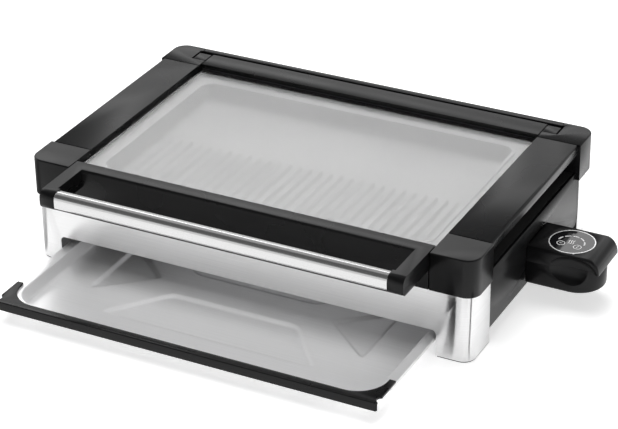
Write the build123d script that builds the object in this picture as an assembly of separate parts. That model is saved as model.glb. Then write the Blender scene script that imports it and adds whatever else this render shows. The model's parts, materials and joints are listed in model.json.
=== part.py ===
from build123d import *
import os

# Electric table grill with a hinged glass lid, side handle rails, a pull-out drip tray
# and a plug-in control unit. Sizes in millimetres. While the pieces are modelled, X runs to the
# right, Y to the back and Z up, with the body centred on X = 0 and Y = 0 and standing on Z = 0.
# They are moved to the row frame, with the origin under the middle of the whole, when written.

# Body
body_width = 505.0
body_depth = 316.0
body_height = 116.0
frame_radius = 15.0
rail_width = 48.5
rail_inset = 2.5
post_depth = 43.0
skirt_height = 41.3
frame_wall = 3.0
edge_round = 1.5
seam = 1.0
rail_seam = 1.3
seat_gap = 0.3
foot_height = 1.0

# Stainless steel skirts
steel_inset = 1.7
steel_side_inset = 4.2
steel_sheet = 1.0
front_return = 48.0
rear_return = 31.5
drawer_left = -220.5
drawer_right = 211.0
drawer_share = 0.25431
drawer_radius = 5.0
drawer_hem = 8.0
rear_arch_height = 17.0
rear_arch_half = 211.0
cut_reach = 10.0

# Side panels and finger gaps under the rails
panel_sheet = 2.5
panel_bottom = 17.0
panel_notch = 6.0
sill_rise = 7.3
rail_lip = 10.0
rail_wall = 3.5
rail_rounding = 3.0
rail_web_offset = 15.0
rail_web = 3.0
rail_rib_depth = 14.0
rail_rib_y = 98.0
rail_rib = 2.5

# Legs inside the steel
leg_slack = 1.5
leg_wall = 3.0
strip_wall = 2.0
pad_inset = 0.4

# Chassis
chassis_wall = 2.5
chassis_lift = 1.0
shelf_rise = 1.5
bay_half = 211.5
bay_left = -220.0
bay_opening_half = 202.0
bay_opening_back = 122.0
hearth_half = 201.0
hearth_front = -142.0
hearth_back = 112.0
lid_sill_drop = 12.8

# Drip tray, modelled pushed in and drawn out by tray_drawn at rest
tray_drawn = 136.0
tray_offset = -3.4
tray_half = 202.4
tray_front = -149.0
tray_back = 118.0
tray_radius = 28.0
tray_rim_drop = 9.5
tray_depth = 13.0
tray_sheet = 0.8
tray_flange = 10.2
tray_lip = 2.2
tray_taper = 18.0
emboss_depth = 2.0
emboss_taper = 70.0
emboss_radius = 7.0
trapezoid_front_half = 124.0
trapezoid_back_half = 72.0
trapezoid_front = 48.0
trapezoid_depth = 64.0
triangle_outer = 157.0
triangle_inner = 97.0
triangle_half = 52.0

# Tray front bar
bar_height = 10.0
bar_rise = 2.7
bar_depth = 2.5
bar_half = 213.1
bar_wing = 43.0
bar_cover = 6.0
bar_hook = 5.0
bar_hook_half = 165.0
bar_corner = 2.5
bar_notch_start = 3.0
bar_notch_end = 13.0
bar_notch = 3.4
bar_round = 1.0

# Tray runners
runner_inner = 1.8
runner_lip = 2.7
runner_web = 3.6
runner_play = 0.6
runner_front = -106.0
runner_back = 120.0

# Grill plate
plate_overlap = 12.0
plate_front = -139.0
plate_back = 113.0
plate_flange = 3.5
plate_flange_drop = 14.5
plate_corner = 6.0
well_half = 186.0
well_front = -124.0
well_back = 100.0
well_depth = 17.5
well_taper = 16.0
well_radius = 14.0
plate_wall = 5.0
bead_width = 3.5
bead_height = 1.5
rib_pitch = 12.0
rib_width = 4.2
rib_height = 3.0
rib_taper = 20.0
rib_front = -102.0
rib_back = -8.0
drain_y = -110.0
drain_radius = 6.0
boss_radius = 6.0
boss_offset = 2.0

# Reflector pan
reflector_half = 199.5
reflector_front = -140.0
reflector_back = 110.0
reflector_depth = 20.0
reflector_sheet = 0.8
reflector_flange = 4.0
reflector_radius = 12.0
spout_radius = 9.0
spout_drop = 12.0
slot_margin = 4.0
slot_radius = 4.0

# Heating element
tube_radius = 3.5
tube_sides = 12
element_right = 160.0
element_left = -168.0
element_inner = 130.0
element_rows = (-98.0, -40.0, 18.0, 76.0)
element_bend = 14.0
element_drop_x = 188.0
element_drop_bend = 10.0
element_spacing = 28.0
clip_spacing = 120.0
clip_half = 6.0
clip_foot = 8.0
clip_sheet = 1.0

# Socket for the control unit
socket_y = 10.0
socket_drop = 31.0
socket_half_width = 21.0
socket_half_height = 11.0
socket_clearance = 1.0
socket_radius = 4.0
terminal_wall = 3.5
terminal_floor = 12.0
terminal_depth = 28.0
pin_radius = 2.0
pin_reach = 29.0
probe_radius = 3.0
probe_overlap = 8.0
sleeve_wall = 1.8
running_gap = 0.1
clear_gap = 0.5
collar_play = 2.0
collar_wall = 1.8
collar_floor = 4.0
sleeve_floor = 1.5

# Lid
lid_gap = 1.2
glass_thick = 4.0
glass_drop = 5.5
glass_side_gap = 3.1
glass_radius = 3.0
glass_bevel = 0.6
gasket = 0.5
groove_depth = 4.6
front_bar_depth = 16.0
lid_wall = 3.0
front_bar_lip = 2.5
front_bar_round = 2.5
arm_width = 14.2
cap_width = 17.2
handle_reach = 57.0
handle_depth = 12.5
handle_height = 20.0
handle_top_round = 8.0
handle_low_round = 6.0
handle_sheet = 1.2
handle_rod_radius = 3.0
handle_rod_seat = 10.0
rear_rail_front = 119.0
rear_rail_back = 146.5
rear_rail_thick = 12.0
strip_front = 149.7
strip_overlap = 14.0
lug_length = 16.3
lug_front = 129.0
lug_back = 144.3
lug_groove = 1.3
lug_groove_depth = 1.5
hinge_pin_radius = 2.5
hinge_pin_seat = 12.0
hinge_pin_start = 1.5
pocket_play = 0.8
pocket_depth = 18.0

# Control unit
unit_length = 78.0
unit_width = 58.0
unit_rise = 12.0
unit_height = 42.5
unit_cap = 16.5
unit_nose = 13.0
unit_wall = 2.5
unit_corner = 3.0
unit_lower_inset = 2.5
room_end_wall = 12.0
room_radius = 6.0
unit_post_radius = 3.2
unit_screw_radius = 1.25
unit_screw_head_radius = 2.5
unit_screw_head = 2.0
unit_screw_sink = 3.0
unit_screw_reach = 7.0
unit_post_edge = 6.0
disc_offset = 38.5
disc_radius = 22.8
ring_radius = 24.0
disc_thick = 2.0
scoop_offset = 51.5
scoop_half_length = 27.0
scoop_half_height = 17.5
scoop_reach = 12.0
scoop_sink = 8.0
scoop_back_wall = 4.0
scoop_drop = 0.5
board_thick = 1.6
board_length = 40.0
board_width = 34.0
board_drop = 4.5
board_x_offset = -4.0
board_y_offset = 5.0
board_post_inset = 5.0
board_post_radius = 2.5
gland_length = 9.0
gland_root_radius = 7.5
gland_tip_radius = 5.5
gland_bore_radius = 3.6
gland_rise = 13.0

# Screws
post_screw_x = 228.0
post_screw_drop = 10.7
post_screw_spacing = 20.0
post_screw_reach = 10.0
rail_screw_rows = (-80.0, 0.0, 80.0)
rail_screw_offset = 8.0
rail_screw_reach = 7.0
screw_radius = 1.75
screw_head_radius = 3.5
screw_head = 2.2
screw_slack = 0.1

# Worked out from the values above
half_width = body_width / 2
half_depth = body_depth / 2
inner_half = half_width - rail_width
plate_flange_half = inner_half + plate_overlap
drawer_height = body_height * drawer_share
rail_outer = half_width - rail_inset
post_inner = half_depth - post_depth
skirt_bottom = body_height - skirt_height
gap_floor = skirt_bottom + sill_rise
lid_sill = body_height - lid_sill_drop
shelf_level = drawer_height + shelf_rise
tray_rim_level = drawer_height - tray_rim_drop
plate_flange_level = body_height - plate_flange_drop
reflector_floor = gap_floor - reflector_depth
socket_z = gap_floor - socket_drop
post_screw_levels = (skirt_bottom - post_screw_drop - post_screw_spacing,
                     skirt_bottom - post_screw_drop)
steel_half_width = half_width - steel_side_inset
steel_half_depth = half_depth - steel_inset
steel_radius = frame_radius - steel_inset
leg_half_width = steel_half_width - steel_sheet - seat_gap
leg_half_depth = steel_half_depth - steel_sheet - seat_gap
leg_radius = steel_radius - steel_sheet - seat_gap
panel_outer = steel_half_width - seat_gap
panel_inner = panel_outer - panel_sheet
panel_front = -half_depth + front_return + seat_gap
panel_back = half_depth - rear_return - seat_gap
chassis_half = panel_inner - seat_gap
chassis_inner = chassis_half - chassis_wall
chassis_front = -leg_half_depth + seat_gap
chassis_back = leg_half_depth - seat_gap
rear_leg_in = panel_back + 2 * seat_gap
tub_front = -post_inner + seat_gap
tub_back = rear_leg_in - seat_gap
cross_half = inner_half - seat_gap
strip_half = inner_half + strip_overlap
lid_half = inner_half - lid_gap
glass_top = body_height - glass_drop
glass_bottom = glass_top - glass_thick
glass_half = inner_half - glass_side_gap
glass_front = -half_depth + front_bar_depth - groove_depth + gasket
glass_back = rear_rail_front + groove_depth - gasket
pivot_y = (lug_front + lug_back) / 2
lug_radius = (lug_back - lug_front) / 2
pivot_z = body_height - lug_radius
well_floor = plate_flange_level - well_depth
plate_underside = well_floor - plate_wall
element_level = plate_underside - seat_gap - tube_radius
wall_face = chassis_inner
terminal_face = wall_face - seat_gap
terminal_back = terminal_face - terminal_depth
probe_tip = element_drop_x - probe_overlap
clip_columns = (-clip_spacing, 0.0, clip_spacing)
unit_top = socket_z + unit_rise
unit_bottom = unit_top - unit_height
unit_split = unit_top - unit_cap
scoop_level = unit_split - scoop_drop
board_level = unit_split - board_drop
gland_level = unit_bottom + gland_rise
unit_face = panel_outer + seat_gap
unit_end = panel_outer + unit_length
unit_front = socket_y - unit_width / 2
unit_back = socket_y + unit_width / 2
disc_x = panel_outer + disc_offset
rail_screw_x = inner_half + rail_screw_offset
collar_tip = terminal_back + terminal_floor + collar_play
room_front = unit_front + scoop_sink + scoop_back_wall
room_end = unit_end - unit_lower_inset - room_end_wall
room_top = unit_top - disc_thick - unit_wall
unit_post_x = unit_face + unit_post_edge
unit_screw_spots = ((unit_post_x, unit_back - unit_post_edge),
                    (room_end - unit_post_edge, unit_back - unit_post_edge - seam),
                    (unit_post_x, room_front + unit_post_edge - 2 * seam))
board_x = disc_x + board_x_offset
board_y = socket_y + board_y_offset
tray_low = tray_rim_level - tray_depth
frame_x = -(unit_end - half_width) / 2
bar_front = tray_front - bar_depth - tray_drawn
frame_y = -(half_depth + bar_front) / 2


def block(x0, x1, y0, y1, z0, z1):
    """Box between two corners."""
    size = Box(x1 - x0, y1 - y0, z1 - z0)
    return Pos((x0 + x1) / 2, (y0 + y1) / 2, (z0 + z1) / 2) * size


def upright(x, y, z0, z1, radius):
    """Round bar along Z."""
    return Pos(x, y, (z0 + z1) / 2) * Cylinder(radius, z1 - z0)


def along_x(x0, x1, y, z, radius):
    """Round bar along X."""
    return Pos((x0 + x1) / 2, y, z) * Rot(0, 90, 0) * Cylinder(radius, x1 - x0)


def along_y(x, y0, y1, z, radius):
    """Round bar along Y."""
    return Pos(x, (y0 + y1) / 2, z) * Rot(90, 0, 0) * Cylinder(radius, y1 - y0)


def slab(x0, x1, y0, y1, z0, z1, radius):
    """Plate with rounded upright corners."""
    plan = RectangleRounded(x1 - x0, y1 - y0, radius)
    return extrude(Pos((x0 + x1) / 2, (y0 + y1) / 2, z0) * plan, z1 - z0)


def mirrored(shape):
    """The same piece on the other side of the body."""
    return mirror(shape, about=Plane.YZ)


def centred_slab(half_x, half_y, z0, z1, radius):
    return slab(-half_x, half_x, -half_y, half_y, z0, z1, radius)


# Black upper frame: one outline with a rounded top edge, cut into the posts and the rear strip
def frame_outline():
    body = centred_slab(half_width, half_depth, skirt_bottom, body_height, frame_radius)
    return fillet(body.faces().sort_by(Axis.Z)[-1].edges(), edge_round)


def frame_cavity():
    top = body_height - frame_wall
    radius = frame_radius - frame_wall
    return centred_slab(half_width - frame_wall, half_depth - frame_wall, 0, top, radius)


def leg(x_in, y_in, y_out):
    """Hollow leg inside a steel corner, closed at the foot. y_in and y_out are its two ends."""
    plan = centred_slab(leg_half_width, leg_half_depth, foot_height, skirt_bottom, leg_radius)
    low, high = min(y_in, y_out), max(y_in, y_out)
    return plan & block(x_in, leg_half_width, low, high, foot_height, skirt_bottom)


def leg_hollow(x_in, y_in, end):
    low = foot_height + leg_wall
    top = skirt_bottom + frame_wall
    plan = centred_slab(leg_half_width - leg_wall, leg_half_depth - leg_wall, low, top,
                        leg_radius - leg_wall)
    if end < 0:
        cut = block(x_in + leg_wall, half_width, -half_depth, y_in - leg_wall, low, top)
    else:
        cut = block(x_in + leg_wall, half_width, y_in + leg_wall, half_depth, low, top)
    return plan & cut


def post_screw_holes(end):
    y = tub_front if end < 0 else tub_back
    holes = Part()
    for z in post_screw_levels:
        holes += along_y(post_screw_x, y - 2 * post_screw_reach, y + 2 * post_screw_reach, z,
                         screw_radius + screw_slack)
    return holes


def front_post(x_in):
    upper = frame_outline() & block(inner_half, half_width, -half_depth, -post_inner,
                                    skirt_bottom, body_height)
    hollow = frame_cavity() & block(inner_half + frame_wall, half_width, -half_depth,
                                    -post_inner - frame_wall, skirt_bottom + frame_wall,
                                    body_height)
    post = upper - hollow + leg(x_in, -post_inner, -leg_half_depth)
    return post - leg_hollow(x_in, -post_inner, -1) - post_screw_holes(-1)


def rear_post():
    upper = frame_outline() & block(inner_half, half_width, post_inner, half_depth,
                                    skirt_bottom, body_height)
    pocket_outer = inner_half + lug_length + pocket_play
    pocket_front = lug_front - pocket_play
    hollow = frame_cavity() & block(inner_half + frame_wall, half_width,
                                    post_inner + frame_wall, half_depth,
                                    skirt_bottom + frame_wall, body_height)
    hollow -= block(0, pocket_outer + frame_wall, pocket_front - frame_wall, half_depth,
                    skirt_bottom, body_height)
    hollow -= along_x(0, pocket_outer + hinge_pin_seat + frame_wall, pivot_y, pivot_z, 2 * hinge_pin_radius)
    x_in = bay_half + leg_slack
    post = upper - hollow + leg(x_in, rear_leg_in, leg_half_depth)
    post -= leg_hollow(x_in, rear_leg_in, 1)
    post -= block(0, pocket_outer, pocket_front, strip_front, body_height - pocket_depth, body_height)
    post -= block(0, strip_half + seat_gap, strip_front - seat_gap, half_depth, skirt_bottom,
                  body_height)
    post -= along_x(pocket_outer, pocket_outer + hinge_pin_seat, pivot_y, pivot_z,
                    hinge_pin_radius + running_gap / 2)
    return post - post_screw_holes(1)


def rear_strip():
    strip = frame_outline() & block(-strip_half, strip_half, strip_front, half_depth,
                                    skirt_bottom, body_height)
    strip -= block(-strip_half + frame_wall, strip_half - frame_wall, strip_front + strip_wall,
                   half_depth - frame_wall, skirt_bottom, body_height - frame_wall)
    return strip - block(-strip_half, strip_half, 0, half_depth - frame_wall, skirt_bottom,
                         gap_floor + seat_gap)


def hinge_pins():
    start = inner_half + hinge_pin_start
    end = inner_half + lug_length + pocket_play + hinge_pin_seat
    pin = along_x(start, end, pivot_y, pivot_z, hinge_pin_radius)
    return [pin, mirrored(pin)]


# Stainless steel skirts, bent round the corners
def steel_ring():
    outer = centred_slab(steel_half_width, steel_half_depth, foot_height,
                         skirt_bottom - seat_gap, steel_radius)
    inner = centred_slab(steel_half_width - steel_sheet, steel_half_depth - steel_sheet,
                         foot_height, skirt_bottom - seat_gap, steel_radius - steel_sheet)
    return outer - inner


def housing_front():
    skirt = steel_ring() & block(-half_width, half_width, -half_depth,
                                 -half_depth + front_return, 0, body_height)
    middle = (drawer_left + drawer_right) / 2
    opening = RectangleRounded(drawer_right - drawer_left, 2 * drawer_height, drawer_radius)
    skirt -= extrude(Pos(middle, -half_depth, 0) * Rot(90, 0, 0) * opening, cut_reach, both=True)
    back = -steel_half_depth + drawer_hem
    skirt += block(drawer_left + drawer_radius, drawer_right - drawer_radius,
                   -steel_half_depth, back, drawer_height, drawer_height + steel_sheet)
    return skirt


def housing_rear():
    skirt = steel_ring() & block(-half_width, half_width, half_depth - rear_return, half_depth,
                                 0, body_height)
    opening = RectangleRounded(2 * rear_arch_half, 2 * rear_arch_height, drawer_radius)
    return skirt - extrude(Pos(0, half_depth, 0) * Rot(90, 0, 0) * opening, cut_reach, both=True)


def side_panel():
    """Flat black cover between the steel corners, notched round the rear post."""
    panel = block(panel_inner, panel_outer, panel_front, panel_back, panel_bottom, gap_floor)
    panel -= block(panel_inner, panel_outer, post_inner - seat_gap, panel_back,
                   skirt_bottom - seat_gap, gap_floor)
    corner = panel.edges().filter_by(Axis.X).group_by(Axis.Z)[0].sort_by(Axis.Y)[-1]
    return chamfer(corner, panel_notch)


def socket_prism(x0, x1, margin):
    """Rounded bar along X with the socket's section, wider by margin on every side."""
    half_y = socket_half_width + margin
    half_z = socket_half_height + margin
    plan = RectangleRounded(2 * half_y, 2 * half_z, socket_radius)
    return extrude(Plane((x0, socket_y, socket_z), x_dir=(0, 1, 0), z_dir=(1, 0, 0)) * plan, x1 - x0)


def side_panel_right():
    return side_panel() - socket_prism(panel_inner - 1, panel_outer + 1, 2 * socket_clearance)


# Chassis: a tub between the posts, with a shelf over the drawer bay and a deck round the hearth
def chassis():
    deck = gap_floor - chassis_wall
    shelf_top = shelf_level + chassis_wall
    body = block(-chassis_half, chassis_half, tub_front, tub_back, panel_bottom + chassis_lift,
                 skirt_bottom - seat_gap)
    body += block(-chassis_half, chassis_half, tub_front, post_inner - seat_gap,
                  skirt_bottom - seat_gap, gap_floor)
    body += block(-cross_half, cross_half, chassis_front, chassis_back, shelf_level, gap_floor)
    body -= block(-chassis_inner, chassis_inner, tub_front + chassis_wall,
                  tub_back - chassis_wall, shelf_top, skirt_bottom - seat_gap - chassis_wall)
    body -= block(-chassis_inner, chassis_inner, tub_front + chassis_wall,
                  post_inner - seat_gap - chassis_wall, shelf_top, deck)
    body -= block(-cross_half + chassis_wall, cross_half - chassis_wall,
                  chassis_front + chassis_wall, chassis_back - chassis_wall, shelf_top, deck)
    body -= block(-chassis_inner, chassis_inner, tub_front + chassis_wall,
                  tub_back - chassis_wall, 0, shelf_level)
    body -= block(bay_left, bay_half, tub_front, 0, 0, shelf_level)
    body -= block(-bay_opening_half, bay_opening_half, chassis_front + 2 * chassis_wall,
                  bay_opening_back, shelf_level, shelf_top)
    body -= block(-hearth_half, hearth_half, hearth_front, hearth_back, deck, gap_floor)
    body += block(-cross_half, cross_half, chassis_front, chassis_front + chassis_wall,
                  gap_floor, lid_sill)
    body -= socket_prism(chassis_inner - 1, chassis_half + 1, 2 * socket_clearance)
    for side in (-1, 1):
        for z in post_screw_levels:
            for y in (tub_front, tub_back):
                body -= along_y(side * post_screw_x, y - 2 * chassis_wall, y + 2 * chassis_wall,
                                z, screw_radius + screw_slack)
    return body


def hex_screw(head_radius, head, radius, reach):
    """Screw along Z: a six-sided head on the XY plane, and an eight-sided shank above it."""
    top = extrude(RegularPolygon(head_radius, 6), head)
    return top + extrude(Pos(0, 0, head) * RegularPolygon(radius, 8), reach)


def base_screws():
    screws = []
    post_screw = hex_screw(screw_head_radius, screw_head, screw_radius, post_screw_reach)
    for side in (-1, 1):
        x = side * post_screw_x
        for z in post_screw_levels:
            front = tub_front + chassis_wall
            screws.append(Pos(x, front + screw_head, z) * Rot(90, 0, 0) * post_screw)
            back = tub_back - chassis_wall
            screws.append(Pos(x, back - screw_head, z) * Rot(-90, 0, 0) * post_screw)
    return screws


def foot_pads():
    pads = []
    plan = centred_slab(steel_half_width - pad_inset, steel_half_depth - pad_inset, 0, foot_height,
                        steel_radius - pad_inset)
    front_in = -half_depth + front_return
    back_in = half_depth - rear_return
    for side, x_in in ((1, drawer_right + leg_slack), (-1, -drawer_left + leg_slack)):
        for y0, y1, x_near in ((-half_depth, front_in, x_in),
                               (back_in, half_depth, bay_half + leg_slack)):
            pad = plan & block(x_near, half_width, y0, y1, 0, foot_height)
            pads.append(pad if side > 0 else mirrored(pad))
    return pads


# Hearth: reflector pan, heating element and its terminals
def reflector_pan():
    top = gap_floor + reflector_sheet
    outer = slab(-reflector_half, reflector_half, reflector_front, reflector_back,
                 reflector_floor, gap_floor, reflector_radius)
    inner = slab(-reflector_half + reflector_sheet, reflector_half - reflector_sheet,
                 reflector_front + reflector_sheet, reflector_back - reflector_sheet,
                 reflector_floor + reflector_sheet, top, reflector_radius - reflector_sheet)
    flange = slab(-reflector_half - reflector_flange, reflector_half + reflector_flange,
                  reflector_front - reflector_flange, reflector_back + reflector_flange,
                  gap_floor, top, reflector_radius + reflector_flange)
    pan = outer + flange - inner
    pan += upright(0, drain_y, reflector_floor - spout_drop, reflector_floor, spout_radius)
    pan -= upright(0, drain_y, reflector_floor - spout_drop, top, spout_radius - reflector_sheet)
    slot_half = element_spacing / 2 + tube_radius + slot_margin
    slot_left = element_drop_x - boss_offset - boss_radius - slot_margin
    slot_right = element_drop_x + tube_radius + slot_margin
    return pan - slab(slot_left, slot_right, socket_y - slot_half, socket_y + slot_half,
                      reflector_floor - reflector_sheet, reflector_floor + 2 * reflector_sheet,
                      slot_radius)


def heating_element():
    front_end = socket_y - element_spacing / 2
    back_end = socket_y + element_spacing / 2
    z = element_level
    points = [
        (terminal_back - seat_gap, front_end, socket_z),
        (element_drop_x, front_end, socket_z),
        (element_drop_x, front_end, z),
        (element_right, front_end, z),
        (element_right, element_rows[0], z),
        (element_left, element_rows[0], z),
        (element_left, element_rows[1], z),
        (element_inner, element_rows[1], z),
        (element_inner, element_rows[2], z),
        (element_left, element_rows[2], z),
        (element_left, element_rows[3], z),
        (element_right, element_rows[3], z),
        (element_right, back_end, z),
        (element_drop_x, back_end, z),
        (element_drop_x, back_end, socket_z),
        (terminal_back - seat_gap, back_end, socket_z),
    ]
    bends = [element_bend] * len(points)
    for corner in (1, 2, -3, -2):
        bends[corner] = element_drop_bend
    return bent_tube(points, bends, tube_radius)


def bent_tube(points, bends, radius):
    """Twelve-sided bar along runs parallel to the axes, with a quarter turn at each corner."""
    corners = [Vector(*point) for point in points]
    bar = Part()
    start = corners[0]
    for index in range(1, len(corners)):
        run = (corners[index] - corners[index - 1]).normalized()
        last = index == len(corners) - 1
        end = corners[index] if last else corners[index] - run * bends[index]
        ring = Plane(start, z_dir=run) * RegularPolygon(radius, tube_sides)
        bar += extrude(ring, (end - start).length)
        if not last:
            turn = (corners[index + 1] - corners[index]).normalized()
            hub = Axis(end + turn * bends[index], run.cross(turn))
            elbow = Plane(end, z_dir=run) * RegularPolygon(radius, tube_sides)
            bar += revolve(elbow, hub, 90)
            start = corners[index] + turn * bends[index]
    return bar


def element_clips():
    """Saddles that stand on the pan and hold the tube by its underside."""
    clips = []
    low = reflector_floor + reflector_sheet
    for row in (element_rows[0], element_rows[3]):
        for x in clip_columns:
            stem = block(x - clip_sheet, x + clip_sheet, row - clip_half, row + clip_half, low,
                         element_level)
            stem -= along_x(x - clip_foot, x + clip_foot, row, element_level,
                            tube_radius + running_gap)
            foot = block(x - clip_foot, x + clip_foot, row - clip_half, row + clip_half, low,
                         low + clip_sheet)
            clips.append(stem + foot)
    return clips


def terminal_block():
    half_y = socket_half_width + socket_clearance
    half_z = socket_half_height + socket_clearance
    body = block(terminal_back, terminal_face, socket_y - half_y - terminal_wall,
                 socket_y + half_y + terminal_wall, socket_z - half_z - terminal_wall,
                 socket_z + half_z + terminal_wall)
    body -= block(terminal_back + terminal_floor, terminal_face, socket_y - half_y,
                  socket_y + half_y, socket_z - half_z, socket_z + half_z)
    for y in pin_rows():
        body -= along_x(terminal_back, terminal_face, y, socket_z, pin_radius + running_gap / 2)
    return body - along_x(terminal_back, terminal_face, socket_y, socket_z,
                          probe_radius + clear_gap)


def pin_rows():
    return (socket_y - element_spacing / 2, socket_y + element_spacing / 2)


def terminal_pins():
    return [along_x(terminal_back, terminal_back + pin_reach, y, socket_z, pin_radius)
            for y in pin_rows()]


# Drip tray and its runners
def tray_runner():
    inner = tray_half + runner_inner
    web = tray_half + tray_flange + runner_play
    outer = web + runner_web
    seat = tray_rim_level - tray_sheet - tray_lip - seat_gap
    rail = block(inner, outer, runner_front, runner_back, seat - runner_lip, shelf_level)
    return rail - block(inner, web, runner_front, runner_back, seat, tray_rim_level + seat_gap)


def tray_outline(offset, z0, z1):
    return slab(-tray_half - offset, tray_half + offset, tray_front - offset + tray_flange,
                tray_back + offset - tray_flange, z0, z1, tray_radius + offset)


def tapered(half, front, back, radius, z, depth, taper):
    """Well with sloping walls, cut downwards from z."""
    plan = RectangleRounded(2 * half, back - front, radius)
    return extrude(Pos(0, (front + back) / 2, z) * plan, -depth, taper=taper)


def sunk_field(points):
    """Flat pressed down into the tray floor, with wide slopes and rounded corners."""
    face = make_face(Polyline(*points, close=True))
    face = fillet(face.vertices(), emboss_radius)
    return extrude(Pos(0, 0, tray_low) * face, -emboss_depth, taper=emboss_taper)


def tray_fields():
    """The four pressed fields: a trapezoid front and back and a triangle left and right."""
    middle = (tray_front + tray_back) / 2
    near = tray_front + trapezoid_front
    far = near + trapezoid_depth
    field = sunk_field([(-trapezoid_front_half, near), (trapezoid_front_half, near),
                        (trapezoid_back_half, far), (-trapezoid_back_half, far)])
    wedge = sunk_field([(triangle_outer, middle - triangle_half),
                        (triangle_outer, middle + triangle_half), (triangle_inner, middle)])
    back_field = Pos(0, middle, 0) * mirror(Pos(0, -middle, 0) * field, about=Plane.XZ)
    return Part() + field + back_field + wedge + mirrored(wedge)


def drip_tray():
    """Sheet tray with a flat rim that is turned down along its outer edge."""
    front = tray_front + tray_flange
    back = tray_back - tray_flange
    rim_low = tray_rim_level - tray_sheet
    flange = tray_outline(tray_flange, rim_low - tray_lip, tray_rim_level)
    flange -= tray_outline(tray_flange - tray_sheet, rim_low - tray_lip, rim_low)
    outer = tapered(tray_half, front, back, tray_radius, tray_rim_level,
                    tray_depth + tray_sheet, tray_taper)
    inner = tapered(tray_half - tray_sheet, front + tray_sheet, back - tray_sheet,
                    tray_radius - tray_sheet, tray_rim_level, tray_depth, tray_taper)
    fields = tray_fields()
    tray = flange + outer + Pos(0, 0, -tray_sheet) * fields - inner - fields
    return Pos(tray_offset, -tray_drawn, 0) * tray


def bar_end_notch():
    """Hollow in the bar's outer side between its front corner and its wing."""
    front = tray_front - bar_depth
    start = front + bar_notch_start
    end = front + bar_notch_end
    arc = ThreePointArc((bar_half, start), (bar_half - bar_notch, (start + end) / 2), (bar_half, end))
    side = Polyline((bar_half, end), (bar_half + bar_notch, end), (bar_half + bar_notch, start),
                    (bar_half, start))
    low = tray_rim_level - bar_height
    return extrude(Pos(0, 0, low) * make_face(Curve() + [arc, side]), 2 * bar_height)


def tray_bar():
    """Front bar that lies over the rim, grips it from below and has a wing along each side."""
    front = tray_front - bar_depth
    top = tray_rim_level + bar_rise
    low = top - bar_height
    seat = tray_rim_level + seat_gap
    under = tray_rim_level - tray_sheet - tray_lip - seat_gap
    bar = slab(-bar_half, bar_half, front, front + 4 * bar_wing, low, top, bar_corner)
    bar &= block(-bar_half, bar_half, front, front + bar_wing, low, top)
    bar -= tray_outline(tray_flange - bar_cover, seat, top)
    bar -= block(-bar_half, bar_half, tray_front - seat_gap, front + bar_wing, low, seat)
    bar += block(-bar_hook_half, bar_hook_half, tray_front - seat_gap, tray_front + bar_hook,
                 low, under)
    notch = bar_end_notch()
    bar = bar - notch - mirrored(notch)
    nose = [edge for edge in bar.edges().filter_by(Axis.X) if abs(edge.center().Y - front) < 0.01]
    return Pos(tray_offset, -tray_drawn, 0) * fillet(nose, bar_round)


# Grill plate with its two handle rails
def grill_plate():
    flange_low = plate_flange_level - plate_flange
    flange = slab(-lid_half, lid_half, plate_front, plate_back, flange_low,
                  plate_flange_level, plate_corner)
    flange += slab(-plate_flange_half, plate_flange_half, -plate_back, plate_back, flange_low,
                   plate_flange_level, plate_corner)
    bead = slab(-well_half - bead_width, well_half + bead_width, well_front - bead_width,
                well_back + bead_width, plate_flange_level, plate_flange_level + bead_height,
                well_radius + bead_width)
    shell = tapered(well_half + plate_wall, well_front - plate_wall, well_back + plate_wall,
                    well_radius + plate_wall, plate_flange_level, well_depth + plate_wall,
                    well_taper)
    well = tapered(well_half, well_front, well_back, well_radius,
                   plate_flange_level, well_depth, well_taper)
    lip = slab(-well_half, well_half, well_front, well_back, plate_flange_level,
               plate_flange_level + bead_height, well_radius)
    plate = flange + bead + shell - well - lip
    count = int((well_half - 1.5 * rib_pitch) // rib_pitch)
    for index in range(-count, count + 1):
        plate += rib(index * rib_pitch)
    plate -= upright(0, drain_y, plate_underside - 1, well_floor + 1, drain_radius)
    plate += upright(element_drop_x - boss_offset, socket_y, socket_z + probe_radius + seat_gap,
                     plate_underside + 1, boss_radius)
    for y in rail_screw_rows:
        for side in (-1, 1):
            plate -= upright(side * rail_screw_x, y, flange_low - 1, plate_flange_level + 1,
                             screw_radius + screw_slack)
    return plate


def rib(x):
    """Searing rib with sloping sides and ends."""
    plan = Pos(x, (rib_front + rib_back) / 2, well_floor) * Rectangle(rib_width,
                                                                    rib_back - rib_front)
    return extrude(plan, rib_height, taper=rib_taper)


def handle_rail():
    end = post_inner - rail_seam
    web_in = inner_half + rail_web_offset
    roof = body_height - rail_wall
    rail = block(inner_half, rail_outer, -end, end, roof, body_height)
    rail += block(rail_outer - rail_wall, rail_outer, -end, end, body_height - rail_lip, roof)
    rail += block(inner_half, inner_half + rail_web, -end, end,
                  plate_flange_level + seat_gap, roof)
    rail += block(web_in, web_in + rail_web, -end, end, gap_floor + seat_gap, roof)
    for y in (rail_rib_y, -rail_rib_y - rail_rib):
        rail += block(web_in + rail_web, web_in + rail_web + rail_rib_depth, y, y + rail_rib,
                      gap_floor + seat_gap, roof)
    for y in rail_screw_rows:
        rail += upright(rail_screw_x, y, plate_flange_level + seat_gap, roof, 2 * screw_radius)
        rail -= upright(rail_screw_x, y, plate_flange_level,
                        plate_flange_level + rail_screw_reach + 1,
                        screw_radius + screw_slack)
    outer_top = [edge for edge in rail.edges().filter_by(Axis.Y)
                 if edge.center().X > rail_outer - 0.01 and edge.center().Z > body_height - 0.01]
    return fillet(outer_top, rail_rounding)


def rail_screws():
    screws = []
    low = plate_flange_level - plate_flange
    reach = plate_flange + rail_screw_reach
    screw = hex_screw(screw_head_radius, screw_head, screw_radius, reach)
    for side in (-1, 1):
        for y in rail_screw_rows:
            x = side * rail_screw_x
            screws.append(Pos(x, y, low - screw_head) * screw)
    return screws


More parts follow.
